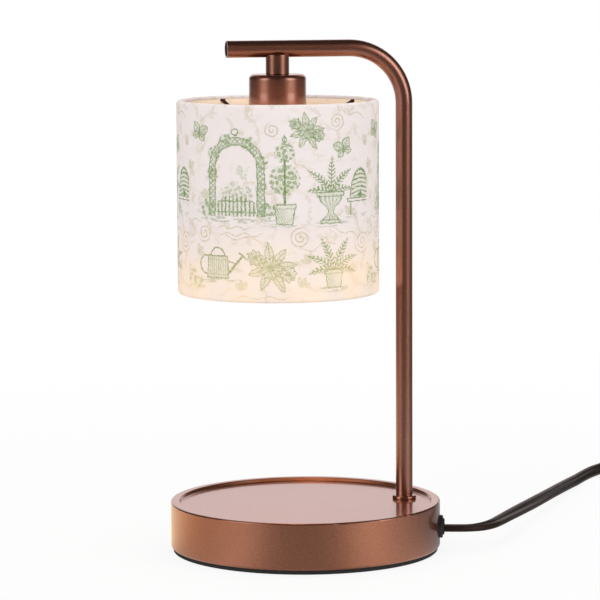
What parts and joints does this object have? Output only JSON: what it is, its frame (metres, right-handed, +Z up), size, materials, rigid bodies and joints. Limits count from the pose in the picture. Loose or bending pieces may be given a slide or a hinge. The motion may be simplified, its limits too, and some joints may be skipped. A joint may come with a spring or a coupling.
{
  "type": "candle warmer lamp",
  "caption": "Candle warmer table lamp: round weighted base, bent tube arm, drum shade round a reflector lamp above the candle, flat cord with in-line dimmer and plug.",
  "frame": {"origin": "centre of the round foot on the table", "axes": "+Z up; the post stands at +X and the arm runs towards -X over the base; the cord leaves the base's side at +X, 17 degrees towards -Y"},
  "size_m": [0.4963, 0.335, 0.3022],
  "materials": {
    "copper_bronze": "satin metallic copper-bronze coat",
    "dark_bronze": "satin dark bronze coat",
    "cast_iron": "raw casting",
    "zinc_steel": "zinc plated",
    "foot_foam": "matt black foam pad",
    "black_plastic": "matt black",
    "gloss_black": "moulded, smooth",
    "phenolic": "moulded phenolic",
    "ceramic": "glazed ceramic",
    "brass": "plain",
    "nickel": "nickel plated",
    "clear_glass": "clear",
    "reflector": "aluminised glass",
    "printed_cloth": "laminated cloth, printed",
    "cord_sheath": "flat twin sheath",
    "lead_white": "high temperature sleeve",
    "crimp_grey": "closed crimp cap",
    "board_green": "printed board",
    "pot_blue": "moulded",
    "parts_mixed": "moulded components",
    "strap_black": "hook and loop strap"
  },
  "bodies": {
    "lamp": {"base_cover": "copper_bronze", "base_weight": "cast_iron", "base_plate": "zinc_steel", "base_screws": "zinc_steel", "foot_pad": "foot_foam", "arm_tube": "dark_bronze", "arm_end_plug": "black_plastic", "post_collar": "dark_bronze", "post_lock_washer": "zinc_steel", "post_nut": "zinc_steel", "holder_stem": "dark_bronze", "threaded_nipple": "zinc_steel", "holder_cap": "dark_bronze", "cap_nut": "zinc_steel", "holder_bracket": "zinc_steel", "holder_screws": "zinc_steel", "holder_body": "ceramic", "holder_contacts": "brass", "holder_sleeve": "phenolic", "shade_ring_nut": "phenolic", "shade_fabric": "printed_cloth", "shade_spider": "dark_bronze", "shade_bottom_wire": "dark_bronze", "inner_leads": "lead_white", "supply_leads": "cord_sheath", "crimp_caps": "crimp_grey", "strain_relief": "black_plastic", "cord_coil": "cord_sheath", "cord_tie": "strap_black", "dimmer_case_bottom": "gloss_black", "dimmer_case_top": "gloss_black", "dimmer_potentiometer": "pot_blue", "dimmer_board": "board_green", "dimmer_components": "parts_mixed", "dimmer_screws": "zinc_steel", "dimmer_leads": "cord_sheath", "plug_body": "gloss_black", "plug_blades": "nickel", "cord_lead": "cord_sheath", "cord_tail": "cord_sheath", "cord_end": "cord_sheath"},
    "bulb": {"bulb_base": "ceramic", "bulb_pins": "nickel", "bulb_reflector": "reflector", "bulb_lens": "clear_glass", "bulb_capsule": "clear_glass"},
    "wheel": {"dimmer_wheel": "black_plastic"}
  },
  "joints": [
    {"name": "bulb_twist", "type": "hinge", "parent": "lamp", "child": "bulb", "pos_m": [-0.0156, 0, 0.2569], "axis": [0, 0, 1], "range_deg": [-25, 0]},
    {"name": "wheel_turn", "type": "hinge", "parent": "lamp", "child": "wheel", "pos_m": [0.33337, 0.23834, 0.0132], "axis": [-0.1742, 0.9847, 0], "range_deg": [-210, 70]}
  ]
}
